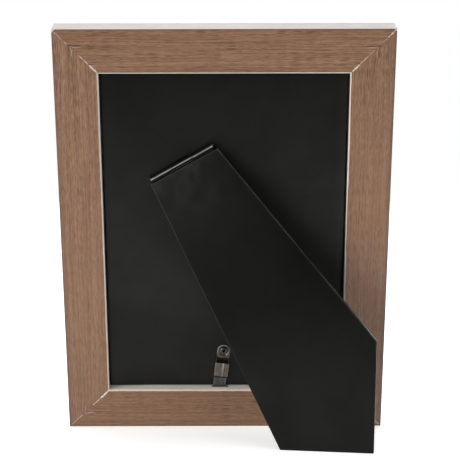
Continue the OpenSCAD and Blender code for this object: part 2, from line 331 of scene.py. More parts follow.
def black_skin(name, base, edge, rough, spec, seed=0.0, cloud_size=38.0, near_edge=0.00045, wear_and_highlight=(0.075, 0.072, 0.068), sheen=0.0, painted_board_light=False):
    """Black paper-faced fibreboard: faint clouds, a fine felt of fibres and paler edges, partly wear and partly a
    painted highlight. sheen paints a pale sheen on the leg's upper end: a painted highlight. dusty is the board's
    painted light: its reflection is lowered at the top and bottom and raised along the side walls and beside the leg."""
    s = Shader(name)
    at = s.scaled(s.xyz, (1, 1, 1), (seed, seed * 0.6, seed * 0.2))
    cloud = s.noise(at, cloud_size, 4, 0.6)
    felt = s.noise(at, 2600, 3, 0.65)
    mottle = s.noise(s.scaled(at, (240, 420, 300)), 1, 3, 0.6)
    lint = s.cells(s.scaled(at, (310, 900, 600)), 1)[0]
    tone = s.mix(s.span(cloud, 0.34, 0.66), tuple(c * 0.62 for c in base), tuple(c * 1.38 for c in base))
    tone = s.mix(s.span(mottle, 0.52, 0.72, 0, 0.35), tone, tuple(c * 1.9 for c in base))
    tone = s.mix(s.span(lint, 0.07, 0.02, 0, 0.30), tone, (0.035, 0.034, 0.032))
    if sheen:
        down = s.node("ShaderNodeVectorMath", operation="DOT_PRODUCT")
        s.link(s.xyz, down.inputs[0])
        row = LEG.inverted()[1]
        down.inputs[1].default_value = tuple(row[:3])
        # painted sheen: a pale cloudy tone on the leg's upper end, fading down from the hinge
        top = s.math("POWER", s.span(down.outputs["Value"], -row[3] - 0.056, -row[3] + 0.004, smooth=False), 2.2)
        painted_sheen_mask = s.math("MULTIPLY", top, s.span(s.noise(s.scaled(at, (1, 1, 0.6)), 95, 3, 0.6), 0.36, 0.64, 0.48, 1.42))
        off = s.math("ABSOLUTE", s.math("ADD", down.outputs["Value"], row[3] + 0.082))
        # distance in from the edge that faces the frame's side
        side = s.node("ShaderNodeVectorMath", operation="DOT_PRODUCT")
        s.link(s.xyz, side.inputs[0])
        edge_row = LEG.inverted()[0] * 0.981 + row * 0.194
        side.inputs[1].default_value = tuple(edge_row[:3])
        inner = s.math("SUBTRACT", 0.0395 - edge_row[3], side.outputs["Value"])
        painted_sheen_mask = s.math("MULTIPLY", painted_sheen_mask, s.span(inner, 0.002, 0.020, 0.25, 1.0))
        # that edge's pale line is brightest and the other's faintest near its foot: painted highlight with some wear
        low = s.span(down.outputs["Value"], -row[3] - 0.070, -row[3] - 0.120, edge * 0.80, edge * 0.12)
        edge = s.mix(s.span(inner, 0.003, 0.010), s.join(edge * 1.45, edge * 1.45, edge * 1.45), s.join(low, low, low))
        tone = s.mix(s.math("MULTIPLY", painted_sheen_mask, sheen), tone, (0.030, 0.030, 0.031))
        # painted light: the reflection is lowered around the leg's middle and near that edge
        spec = s.math("MULTIPLY", s.span(off, 0.0, 0.052, spec * 0.74, spec), s.span(inner, 0.0, 0.014, 0.80, 1.0))
        # painted light: the upper half is duller towards that edge, the lower half glossier towards the other
        high = s.span(down.outputs["Value"], -row[3] - 0.098, -row[3] - 0.070)
        dull = s.math("MULTIPLY", high, s.span(inner, 0.036, 0.010, 0.0, -0.17))
        gloss = s.math("MULTIPLY", s.math("SUBTRACT", 1.0, high), s.span(inner, 0.048, 0.066))
        gloss = s.math("MULTIPLY", gloss, s.span(down.outputs["Value"], -row[3] - 0.116, -row[3] - 0.148, 0.17, -0.10))
        spec = s.math("MULTIPLY", spec, s.math("ADD", 1.0, s.math("ADD", dull, gloss)))
    if painted_board_light:
        x, _, z = s.split(s.xyz)
        # painted shade: the board's reflection is lowered towards its top and its bottom
        spec = s.math("MULTIPLY", s.span(z, 0.118, 0.195, spec, spec * 0.72), s.span(z, 0.085, 0.045, 1.0, 0.77))
        # painted light: reflection raised along the side walls, lifting the shade there
        left = s.math("MULTIPLY", s.math("POWER", s.span(x, 0.054, 0.064, smooth=False), 1.7), s.span(z, 0.110, 0.180, 0.30, 0.95))
        right = s.math("MULTIPLY", s.math("POWER", s.span(x, -0.0572, -0.064, smooth=False), 2.0), 1.1)
        # and raised beside the leg's edge, lifting the leg's shadow there: painted light; past is the distance beyond
        # that edge
        past = s.math("ADD", s.math("ADD", s.math("MULTIPLY", z, 0.66), s.math("MULTIPLY", x, -0.751)), -0.1021)
        drawn = s.math("MULTIPLY", s.math("MULTIPLY", s.span(z, 0.136, 0.150), s.span(past, -0.0005, 0.0022)), s.span(past, 0.0130, 0.0040, 0.0, 0.36))
        drawn = s.math("MULTIPLY", drawn, s.span(z, 0.165, 0.155))
        low = s.math("MULTIPLY", s.span(z, 0.138, 0.124), s.span(past, 0.0035, 0.0095, 0.0, 0.20))
        more = s.math("ADD", s.math("ADD", left, right), s.math("ADD", drawn, low))
        spec = s.math("MULTIPLY", spec, s.math("ADD", 1.0, more))
    # edges paler where the surface turns quickly: painted highlight with some wear
    near = s.node("ShaderNodeBevel", samples=4)
    near.inputs["Radius"].default_value = near_edge
    geo = s.node("ShaderNodeNewGeometry")
    turn = s.node("ShaderNodeVectorMath", operation="DOT_PRODUCT")
    s.link(near.outputs[0], turn.inputs[0])
    s.link(geo.outputs["True Normal"], turn.inputs[1])
    painted_edge_light = s.math("MULTIPLY", s.span(turn.outputs["Value"], 0.985, 0.86), s.span(s.noise(at, 160, 3, 0.6), 0.36, 0.60, 0.45, 1.0))
    tone = s.mix(s.math("MULTIPLY", painted_edge_light, edge), tone, wear_and_highlight)
    s.set(Base_Color=tone, Roughness=s.span(cloud, 0.3, 0.7, rough + 0.05, rough - 0.05, smooth=False), Specular_IOR_Level=spec)
    s.bump((mottle, 0.00002), (felt, 0.000012))
    return s.mat


def metal(name, base, dull, rough=0.34, rust=0.0, along=(1, 1, 1), metallic=1.0, shade=None, ring=False):
    """Pressed and plated steel: drawn lines, fine scratches and duller patches.
    shade is the y, in metres, below which the steel is painted darker: painted shade under and beside the slider.
    ring paints a pale highlight on the left of the latch's ring end, partly as wear of the plating."""
    s = Shader(name)
    lines = s.noise(s.scaled(s.xyz, tuple(1800 * a for a in along)), 1, 3, 0.6)
    patch = s.noise(s.xyz, 700, 4, 0.62)
    pits = s.cells(s.xyz, 2600)[0]
    tone = s.mix(s.span(patch, 0.36, 0.66), base, dull)
    tone = s.mix(s.span(lines, 0.62, 0.80, 0, 0.4), tone, tuple(min(1, c * 1.5) for c in base))
    if rust:
        tone = s.mix(s.span(s.noise(s.xyz, 1100, 3, 0.6), 0.55, 0.72, 0, rust), tone, (0.10, 0.055, 0.035))
    # painted shade under and beside the slider
    if shade is not None:
        tone = s.mix(s.span(s.split(s.xyz)[1], shade, shade - 0.0005), tone, s.mix(1.0, tone, (0.42, 0.42, 0.43), "MULTIPLY"))
    # painted highlight, partly as wear of the plating, on the left of the ring's outer rim
    if ring:
        raw = s.split(s.xyz)
        y = s.math("ADD", raw[1], 0.00028)
        out = s.math("SQRT", s.math("ADD", s.math("MULTIPLY", raw[0], raw[0]), s.math("MULTIPLY", y, y)))
        wear_and_highlight = s.math("MULTIPLY", s.span(out, 0.00300, 0.00322), s.span(s.math("SUBTRACT", y, raw[0]), 0.0008, 0.0030))
        tone = s.mix(s.math("MULTIPLY", wear_and_highlight, s.span(patch, 0.34, 0.58, 0.45, 1.0)), tone, (0.213, 0.205, 0.188))
    s.set(Base_Color=tone, Roughness=s.span(patch, 0.3, 0.7, rough - 0.07, rough + 0.10, smooth=False), Metallic=metallic)
    s.bump((s.span(pits, 0.0, 0.22), 0.000008), (lines, 0.000008))
    return s.mat


def card(name, base, fleck, fibre_scale=900.0, rough=0.85):
    """Uncoated card or paper: soft fibres and a few flecks."""
    s = Shader(name)
    felt = s.noise(s.scaled(s.xyz, (fibre_scale, fibre_scale * 0.55, fibre_scale)), 1, 4, 0.62)
    cloud = s.noise(s.xyz, 45, 3, 0.5)
    dist, pick = s.cells(s.scaled(s.xyz, (900, 500, 700)), 1)
    spot = s.math("MULTIPLY", s.span(dist, 0.16, 0.06), s.span(s.split(pick)[0], 0.80, 0.95))
    tone = s.mix(s.span(felt, 0.3, 0.7), tuple(c * 0.955 for c in base), tuple(min(c * 1.03, 0.97) for c in base))
    tone = s.mix(s.span(cloud, 0.35, 0.65, 0, 0.25), tone, tuple(c * 0.93 for c in base))
    tone = s.mix(s.math("MULTIPLY", spot, 0.5), tone, fleck)
    s.set(Base_Color=tone, Roughness=s.span(felt, 0.3, 0.7, rough - 0.05, rough + 0.05, smooth=False), Specular_IOR_Level=0.25)
    s.bump((felt, 0.00002))
    return s.mat


def glass(name):
    """Clear float glass with faint smears and a green tint in its edge."""
    s = Shader(name)
    smear = s.noise(s.scaled(s.xyz, (60, 60, 25)), 1, 4, 0.6, 0.8)
    dust = s.cells(s.xyz, 900)[0]
    rough = s.math("ADD", s.span(smear, 0.45, 0.75, 0.0, 0.035), s.span(dust, 0.05, 0.0, 0.0, 0.12))
    tint = s.mix(s.span(smear, 0.3, 0.7), (0.945, 0.985, 0.965), (0.965, 0.992, 0.978))
    s.set(Base_Color=tint, Roughness=rough, IOR=1.5, Transmission_Weight=1.0)
    return s.mat


def floor_stuff(name):
    s = Shader(name)
    cloud = s.noise(s.xyz, 3.0, 3, 0.5)
    tone = s.mix(s.span(cloud, 0.3, 0.7), (0.89, 0.89, 0.89), (0.91, 0.91, 0.91))
    s.set(Base_Color=tone, Roughness=0.85, Specular_IOR_Level=0.2, Emission_Color=(1.0, 1.0, 1.0), Emission_Strength=0.58)
    return s.mat


# ---------------------------------------------------------------- mesh tools
def circle(r, n=40, x=0.0, y=0.0, a0=0.0, a1=360.0, ends=False):
    """Points of an arc; a full turn runs counter-clockwise unless a1 < a0."""
    count = n + 1 if ends else n
    return [(x + r * math.cos(math.radians(a0 + (a1 - a0) * i / n)), y + r * math.sin(math.radians(a0 + (a1 - a0) * i / n)))
            for i in range(count)]


def rounded(loop, radii, n=4):
    """A closed outline with its corners rounded; radii has one number per corner, or is one number."""
    out = []
    for i, p in enumerate(loop):
        r = radii[i] if isinstance(radii, (list, tuple)) else radii
        p, a, b = Vector(p), Vector(loop[i - 1]), Vector(loop[(i + 1) % len(loop)])
        if r <= 0:
            out.append(tuple(p))
            continue
        da, db = (a - p).normalized(), (b - p).normalized()
        half = da.angle(db) / 2
        cut = min(r / math.tan(half), (a - p).length * 0.49, (b - p).length * 0.49)
        r = cut * math.tan(half)
        centre = p + (da + db).normalized() * (r / math.sin(half))
        start, end = p + da * cut - centre, p + db * cut - centre
        for k in range(n + 1):
            t = k / n
            v = (start * (1 - t) + end * t)
            out.append(tuple(centre + v.normalized() * r))
    return out


def inset(loop, d):
    """Moves each point of a closed loop d to the left of its travel."""
    out = []
    for i in range(len(loop)):
        a, p, b = Vector(loop[i - 1]), Vector(loop[i]), Vector(loop[(i + 1) % len(loop)])
        e0, e1 = (p - a).normalized(), (b - p).normalized()
        n0, n1 = Vector((-e0.y, e0.x)), Vector((-e1.y, e1.x))
        out.append(p + (n0 + n1) * (d / max(1 + n0.dot(n1), 0.25)))
    return out


class Shape:
    """Collects closed solids into one mesh, in millimetres."""

    def __init__(self):
        self.bm = bmesh.new()

    def ring(self, points, at):
        return [self.bm.verts.new(at @ Vector(p)) for p in points]

    def band(self, a, b, mat, shut=True):
        faces = []
        for i in range(len(a) if shut else len(a) - 1):
            j = (i + 1) % len(a)
            f = self.bm.faces.new((a[i], a[j], b[j], b[i]))
            f.material_index = mat
            faces.append(f)
        return faces

    def plate(self, loops, z0, z1, r0=0.0, r1=0.0, at=Matrix(), mat=0, seg=3, side=None):
        """A sheet from outline loops (the first counter-clockwise, holes clockwise), z0 to z1, its rims rounded by r0 and r1."""
        side = mat if side is None else side
        steps = []
        for r, z, up in ((r0, z0, 1), (r1, z1, -1)):
            n = seg if r > 0 else 0
            arc = [(r * (1 - math.sin(math.radians(90 * k / n))), z + up * r * (1 - math.cos(math.radians(90 * k / n)))) for k in range(n + 1)] if n else [(0.0, z)]
            steps += arc if up > 0 else arc[::-1]
        rims = []
        for loop in loops:
            rings = [self.ring([(p.x, p.y, z) for p in (inset(loop, d) if d else [Vector(q) for q in loop])], at) for d, z in steps]
            for a, b in zip(rings, rings[1:]):
                self.band(a, b, side)
            rims.append((rings[0], rings[-1]))
        for which, (d, z) in ((0, steps[0]), (1, steps[-1])):
            flat = [[(p.x, p.y, 0.0) for p in (inset(loop, d) if d else [Vector(q) for q in loop])] for loop in loops]
            verts = [v for rim in rims for v in rim[which]]
            for tri in tessellate_polygon(flat):
                tri = [verts[i] for i in tri]
                if len(set(tri)) == 3:
                    try:
                        self.bm.faces.new(tri if which else tri[::-1]).material_index = mat
                    except ValueError:
                        pass
        return self

    def lathe(self, profile, at=Matrix(), mat=0, steps=48, mats=None):
        """Turns a closed (r, z) profile about z; points at r = 0 become poles."""
        rings = []
        for r, z in profile:
            if r < 1e-6:
                rings.append([self.bm.verts.new(at @ Vector((0, 0, z)))])
            else:
                rings.append(self.ring([(x, y, z) for x, y in circle(r, steps)], at))
        n = len(rings)
        for i in range(n):
            a, b = rings[i], rings[(i + 1) % n]
            m = mats[i] if mats else mat
            if len(a) == 1 and len(b) == 1:
                continue
            for k in range(steps):
                j = (k + 1) % steps
                face = [a[k % len(a)], a[j % len(a)], b[j % len(b)], b[k % len(b)]]
                seen = []
                for v in face:
                    if v not in seen:
                        seen.append(v)
                self.bm.faces.new(seen).material_index = m
        return self

    def ribbon(self, points, widths, heights, base=-0.01, at=Matrix(), mat=0):
        """A raised bead on the plane z = 0, along 2D points, closed all round."""
        rows = []
        for i, p in enumerate(points):
            p = Vector(p)
            a, b = Vector(points[max(i - 1, 0)]), Vector(points[min(i + 1, len(points) - 1)])
            d = (b - a).normalized()
            side = Vector((-d.y, d.x))
            w, h = widths[i], heights[i]
            row = []
            for k, z in ((-1.0, base), (-1.0, 0.15 * h), (-0.62, 0.8 * h), (0.0, h), (0.62, 0.8 * h), (1.0, 0.15 * h), (1.0, base)):
                q = p + side * (w * k)
                row.append(self.bm.verts.new(at @ Vector((q.x, q.y, z))))
            rows.append(row)
        for a, b in zip(rows, rows[1:]):
            self.band(a, b, mat)
        for row in (rows[0], rows[-1]):
            self.bm.faces.new(row).material_index = mat
        return self

    def finish(self, name, place, materials, smooth=33.0, weight=True):
        bm = self.bm
        bmesh.ops.recalc_face_normals(bm, faces=bm.faces)
        bm.transform(Matrix.Scale(MM, 4))
        mesh = bpy.data.meshes.new(name)
        bm.to_mesh(mesh)
        bm.free()
        o = bpy.data.objects.new(name, mesh)
        bpy.context.scene.collection.objects.link(o)
        o.matrix_world = place
        for m in materials:
            mesh.materials.append(m)
        if smooth:
            soften(o, smooth, weight)
        return o


def soften(o, smooth=33.0, weight=True):
    mesh = o.data
    mesh.polygons.foreach_set("use_smooth", [True] * len(mesh.polygons))
    mesh.set_sharp_from_angle(angle=math.radians(smooth))
    if weight:
        m = o.modifiers.new("even_normals", "WEIGHTED_NORMAL")
        m.keep_sharp = True
        m.weight = 60


def boolean(o, others, operation="DIFFERENCE"):
    """Applies exact booleans; the other objects are removed."""
    o.modifiers.clear()
    for c in others:
        m = o.modifiers.new("cut", "BOOLEAN")
        m.operation, m.solver, m.object = operation, "EXACT", c
    bpy.context.view_layer.update()
    mesh = bpy.data.meshes.new_from_object(o.evaluated_get(bpy.context.evaluated_depsgraph_get()))
    o.modifiers.clear()
    old, o.data = o.data, mesh
    mesh.name = old.name + "_cut"
    bpy.data.meshes.remove(old)
    for c in others:
        data = c.data
        bpy.data.objects.remove(c)
        bpy.data.meshes.remove(data)
    return o


def finish_cad(node, material, bevel=0.0, smooth=33.0, segments=2):
    """A CAD node as it is, with its own material and, where it has cut edges, a fine broken edge."""
    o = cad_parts[node]
    for s in o.material_slots:
        s.material = material
    w = o.modifiers.new("weld", "WELD")
    w.merge_threshold = 1e-6
    if bevel:
        b = o.modifiers.new("broken_edges", "BEVEL")
        b.width, b.segments, b.limit_method, b.angle_limit = bevel * MM, segments, "ANGLE", math.radians(40)
        b.use_clamp_overlap = True
        b.harden_normals = True
    return o


def wobble(x, seed, size):
    return noise.noise(Vector((x / size, seed * 7.31 + 0.5, seed * 1.7)))


# ---------------------------------------------------------------- frame rails
WOOD, PAINT, PRIMER, POCKET, EDGE = 0, 1, 2, 3, 4
CORNERS = [(-FRAME_W / 2, 0.0, 0), (FRAME_W / 2, 0.0, 90), (FRAME_W / 2, FRAME_H, 180), (-FRAME_W / 2, FRAME_H, 270)]


def rail_profile(line, drop):
    """(y, z, material of the strip that starts here, looseness of the point) round the moulding.
    line is where the wood face ends and the painted inner chamfer starts, and drop is the chamfer's depth."""
    pts = []
    r = 0.30
    for k in range(5):                                       # outer back edge
        a = math.radians(90 * k / 4)
        pts.append([r - r * math.sin(a), -r + r * math.cos(a), WOOD, 0.0])
    pts[-1][2] = PAINT
    pts += [[0.0, -5.0, PAINT, 0.0], [0.0, -9.5, PAINT, 0.0]]
    r = 0.35
    for k in range(6):                                       # outer front edge
        a = math.radians(90 * k / 5)
        pts.append([r - r * math.cos(a), -FRAME_T + r - r * math.sin(a), PAINT, 0.0])
    pts += [[9.0, -14.0, PAINT, 0.0], [18.0, -14.0, PAINT, 0.0]]
    pts += [[27.35, -14.0, PAINT, 0.0], [27.72, -13.93, PAINT, 0.0], [28.08, -13.66, PAINT, 0.0], [28.40, -13.28, PAINT, 0.0],
            [28.5, -12.95, PAINT, 0.0], [28.5, -11.2, PAINT, 0.0], [28.3, -11.0, PRIMER, 0.0], [23.0, -11.0, PRIMER, 0.0]]
    c = 23.0 - line
    free = min(1.0, c / 0.8)
    pts += [[23.0, -6.0, PRIMER, 0.0], [23.0, -1.14 * drop, EDGE, 0.06], [23.0 - 0.05 * c, -0.93 * drop, EDGE, 0.06],
            [23.0 - 0.43 * c, -0.48 * drop, EDGE, 0.05], [23.0 - 0.83 * c, -0.065 * drop, EDGE, 0.10 * free],
            [line, 0.0, WOOD, 0.14 * free],
            [14.0, 0.0, WOOD, 0.0], [7.0, 0.0, WOOD, 0.0]]
    return pts


def between(points, x):
    """The value at x on the line through points, level past its ends."""
    for (x0, a), (x1, b) in zip(points, points[1:]):
        if x < x1:
            k = min(1.0, max(0.0, (x - x0) / (x1 - x0)))
            return a + (b - a) * k * k * (3 - 2 * k)
    return points[-1][1]


def rail(name, length, u, v, turn, seed, line, materials):
    drop, line = line
    prof = rail_profile(line[0][1], drop)
    s = Shape()
    half, count = length / 2 - 0.015, 110
    rings = []
    for i in range(count + 1):
        t = -1 + 2 * i / count
        row = []
        for y, z, _, loose in rail_profile(between(line, t * (half - 23.0)), drop):
            x0 = t * (half - y)
            if loose:
                j = wobble(x0, seed, 5.0) * 0.7 + wobble(x0, seed + 3, 1.6) * 0.5
                if z == 0.0:
                    y += loose * j
                else:
                    y += loose * j * 0.5
                    y = min(y, 23.0)
            row.append((t * (half - y), y, z))
        rings.append(s.ring(row, Matrix()))
    for a, b in zip(rings, rings[1:]):
        for f, (_, _, m, _) in zip(s.band(a, b, 0), prof):
            f.material_index = m
    for row in (rings[0], rings[-1]):
        s.bm.faces.new(row).material_index = POCKET
    return s.finish(name, PLACE @ tr(u, v, 0) @ rot(turn, "Z"), materials, smooth=0)


NAIL_ARM, NAIL_T = 6.6, 0.42
NAIL_AT = [(8.2, 7.6), (8.5, 8.5), (8.2, 8.45), (7.95, 8.15)]    # in each corner's own axes


def nail_outline(grow=0.0):
    def bow(i):
        return 0.35 * math.sin(math.pi * i / 6)
    p = [(i * NAIL_ARM / 6, bow(i) + (0.5 if i == 6 else 0)) for i in range(6, -1, -1)]
    p += [(bow(i) + (0.5 if i == 6 else 0), i * NAIL_ARM / 6) for i in range(1, 7)]
    p += [(bow(i) + NAIL_T + (0.2 if i == 6 else 0), i * NAIL_ARM / 6 - (0.1 if i == 6 else 0)) for i in range(6, 0, -1)]
    p += [(NAIL_T + 0.12, NAIL_T + 0.12)]
    p += [(i * NAIL_ARM / 6 - (0.1 if i == 6 else 0), bow(i) + NAIL_T + (0.2 if i == 6 else 0)) for i in range(1, 7)]
    p = p[::-1]                                              # counter-clockwise
    area = sum(a[0] * b[1] - b[0] * a[1] for a, b in zip(p, p[1:] + p[:1]))
    if area < 0:
        p = p[::-1]
    return [tuple(q) for q in inset(p, -grow)] if grow else p


def corner_at(c, z=0.0):
    """From a corner's own axes, along both rails, to back-view axes, in millimetres."""
    x, y, a = CORNERS[c]
    return Matrix.Translation((x, y, z)) @ Matrix.Rotation(math.radians(a), 4, "Z")


def nail_cutter():
    s = Shape()
    for c in range(4):
        s.plate([nail_outline(0.04)], -7.2, 1.0, at=corner_at(c) @ Matrix.Translation((*NAIL_AT[c], 0)), mat=POCKET)
    return s.finish("nail_cutter", PLACE, [], smooth=0)


def box_cutter(lo, hi, place=PLACE, mat=POCKET):
    s = Shape()
    s.plate([[(lo[0], lo[1]), (hi[0], lo[1]), (hi[0], hi[1]), (lo[0], hi[1])]], lo[2], hi[2], mat=mat)
    return s.finish("box_cutter", place, [], smooth=0)


def build_rails():
    white = paint("white_lacquer", (0.585, 0.541, 0.531), (0.36, 0.33, 0.30), rim=True)
    pocket = card("raw_pocket", (0.050, 0.030, 0.020), (0.02, 0.012, 0.01), 1400, 0.9)
    w, h = FRAME_W, FRAME_H
    made = []
    for name, length, u, v, turn, seed, tint, lap, line, painted_shade_depth, painted_falloff_rate, depth, ease, painted_shadow_x in (
        ("rail_top", w, 0, h, 180, 1.0, (1.19, 1.19, 1.16), (1.8, 1.2), (0.26, [(-88, 22.52), (88, 22.55)]), 2.6, (0.0, 0.0), 0.96, None, None),
        ("rail_bottom", w, 0, 0, 0, 2.0, (0.957, 0.985, 0.955), (0.5, 0.5), (1.02, [(-40, 22.29), (0, 22.19), (40, 22.15)]), 6.3, (-0.7, -0.03), 0.80, None, None),
        ("rail_left", h, -w / 2, h / 2, 270, 3.0, (1.11, 1.135, 1.15), (0.5, 1.8), (0.82, [(-44, 22.24), (-28, 22.35), (90, 22.36)]), 1.3, (-1.10, 0.0), 1.27, (-0.075, 0.020, 0.51), None),
        ("rail_right", h, w / 2, h / 2, 90, 4.0, (1.115, 1.14, 1.14), (1.2, 0.5), (0.78, [(-14, 22.28), (-4, 22.54), (22, 22.58), (33, 22.32), (58, 22.32), (70, 22.42)]), 1.3, (0.35, 0.0), 1.04, (0.070, 0.035, 0.62), 0.0),
    ):
        # painted light: the chamfer's tone is set per rail, for how the light reaches each
        k = {"rail_top": 1.12, "rail_bottom": 1.11, "rail_left": 1.03, "rail_right": 1.0}[name]
        edge = paint(name + "_chamfer", (0.675 * k, 0.608 * k, 0.54 * k), (0.40, 0.34, 0.28), seed=2.0)
        # painted shade: the rebate wall turns dark below a depth set per rail
        primer = paint(name + "_primer", (0.84, 0.78, 0.72), (0.47, 0.42, 0.37), seed=3.0, rough=0.7, painted_shade_depth=-painted_shade_depth * MM)
        o = rail(name + "_moulding", length, u, v, turn, seed, line,
                 [wood(name + "_wood", seed, tint, (length / 2 * MM, lap[0] * MM, lap[1] * MM), painted_falloff_rate, depth, ease, painted_shadow_x, turn in (90, 270)), white, primer, pocket, edge])
        cutters = [nail_cutter()]
        if name == "rail_top":
            cutters += [box_cutter((s * 38 - 6.5, h - RAIL_W - 0.01, -7.65), (s * 38 + 6.5, h - RAIL_W + 3, -6.85)) for s in (-1, 1)]
        if name == "rail_bottom":
            cutters.append(box_cutter((-7.4, RAIL_W - 2.6, -4.6), (1.75, RAIL_W + 0.01, -3.5)))
        boolean(o, cutters)
        soften(o, 33)
        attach(o, "frame")
        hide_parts(name)
        made.append(o)
    return made


def build_nails():
    s = Shape()
    for c in range(4):
        s.plate([nail_outline()], -7.0, -0.05, 0.0, 0.10, at=corner_at(c) @ Matrix.Translation((*NAIL_AT[c], 0)), seg=2, mat=0 if c > 1 else 1)
    o = s.finish("corner_v_nails_steel", PLACE, [metal("nail_steel_dull", (0.15, 0.10, 0.085), (0.085, 0.057, 0.050), 0.55, 0.5, metallic=0.35),
                                                 metal("nail_steel_pale", (0.21, 0.155, 0.13), (0.15, 0.105, 0.085), 0.55, 0.3, metallic=0.3)])
    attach(o, "frame")
    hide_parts("corner_v_nails")


def build_filler():
    """Paint and filler left in the mitres, and the lifted wood along each nail's inner side."""
    s = Shape()
    d = 1 / math.sqrt(2)
    # corner, start, end, half width there, at the start and end, height, seed; corners run clockwise from bottom left
    for c, a, b, w0, w1, h, seed, rag in (
        (3, 1.9, 10.7, 0.17, 0.24, 0.05, 1.0, 0.9), (3, 18.4, 31.6, 0.15, 0.36, 0.07, 2.0, 0.9),
        (2, 0.6, 6.4, 0.19, 0.14, 0.06, 3.0, 1.0), (2, 6.6, 11.4, 0.035, 0.045, 0.03, 4.0, 1.0), (2, 15.0, 18.6, 0.04, 0.06, 0.04, 10.0, 1.0),
        (2, 18.4, 31.6, 0.06, 0.27, 0.08, 5.0, 1.0),
        (0, 1.6, 10.9, 0.10, 0.11, 0.04, 6.0, 0.35), (0, 19.2, 31.8, 0.09, 0.66, 0.08, 7.0, 0.6),
        (1, 1.4, 9.0, 0.12, 0.14, 0.05, 8.0, 1.0), (1, 16.5, 31.6, 0.12, 0.38, 0.07, 9.0, 1.0),
    ):
        n = max(8, int((b - a) / 0.28))
        pts, widths, heights = [], [], []
        for i in range(n + 1):
            t = i / n
            q = a + (b - a) * t
            off = wobble(q, seed, 3.0) * 0.13 + wobble(q, seed + 0.4, 0.9) * 0.05
            pts.append((q * d - off * d, q * d + off * d))
            w = (w0 + (w1 - w0) * t ** 1.6) * (0.92 + rag * (2.0 * wobble(q, seed + 0.2, 1.7) + wobble(q, seed + 0.8, 0.6)))
            fade = min(1.0, min(i, n - i) / 2.0 + 0.12)
            widths.append(max(w, 0.03) * fade)
            heights.append(h * (0.5 + 0.5 * fade))
        s.ribbon(pts, widths, heights, at=corner_at(c))
    # lifted slivers inside the nails' bend
    for c, arms, h in ((3, ((0, 1.15, 0.17), (1, 0.75, 0.15)), 0.05), (2, ((1, 0.9, 0.15), (0, 0.45, 0.13)), 0.045),
                       (0, ((0, 0.55, 0.14), (1, 0.35, 0.10)), 0.03), (1, ((0, 0.7, 0.12), (1, 0.7, 0.12)), 0.04)):
        for which, bulge, w in arms:
            pts, widths, heights = [], [], []
            for i in range(21):
                t = i / 20
                x = 0.9 + (NAIL_ARM - 0.7) * t
                y = NAIL_T + 0.28 + bulge * math.sin(math.pi * min(1, t * 1.02)) + 0.45 * t ** 4
                y += 0.05 * wobble(x, c + which * 0.3, 0.8)
                p = (NAIL_AT[c][0] + x, NAIL_AT[c][1] + y) if which == 0 else (NAIL_AT[c][0] + y, NAIL_AT[c][1] + x)
                pts.append(p)
                widths.append(w * (0.35 + 0.65 * math.sin(math.pi * (0.08 + 0.84 * t))) * (1 + 0.4 * wobble(x, c + 5.0, 0.9)))
                heights.append(h)
            s.ribbon(pts, widths, heights, at=corner_at(c), mat=1)
    o = s.finish("mitre_filler", PLACE, [paint("filler_cream", (0.585, 0.525, 0.475), (0.40, 0.32, 0.26), seed=5.0, rough=0.7),
                                         paint("lifted_wood", (0.40, 0.30, 0.245), (0.24, 0.16, 0.12), seed=6.0, rough=0.7)], smooth=60, weight=False)
    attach(o, "frame")


# ---------------------------------------------------------------- hinge
KNUCKLE_R, PIN_R, SHEET = 1.35, 0.8, 0.5


def curl(y_leaf, z0, z1, start, end, n=26):
    """Cross-section of a sheet from y_leaf that runs to the barrel and curls round it, in (y, z).
    start is the angle where the sheet meets the circle, end where its lip stops; end < start turns clockwise."""
    outer = [(KNUCKLE_R * math.cos(math.radians(start + (end - start) * i / n)), KNUCKLE_R * math.sin(math.radians(start + (end - start) * i / n))) for i in range(n + 1)]
    r = PIN_R + 0.02
    inner = [(r * math.cos(math.radians(start + (end - start) * i / n)), r * math.sin(math.radians(start + (end - start) * i / n))) for i in range(n + 1)]
    loop = [(y_leaf, z0)] + outer + inner[::-1] + [(y_leaf, z1)]
    area = sum(a[0] * b[1] - b[0] * a[1] for a, b in zip(loop, loop[1:] + loop[:1]))
    return loop if area > 0 else loop[::-1]


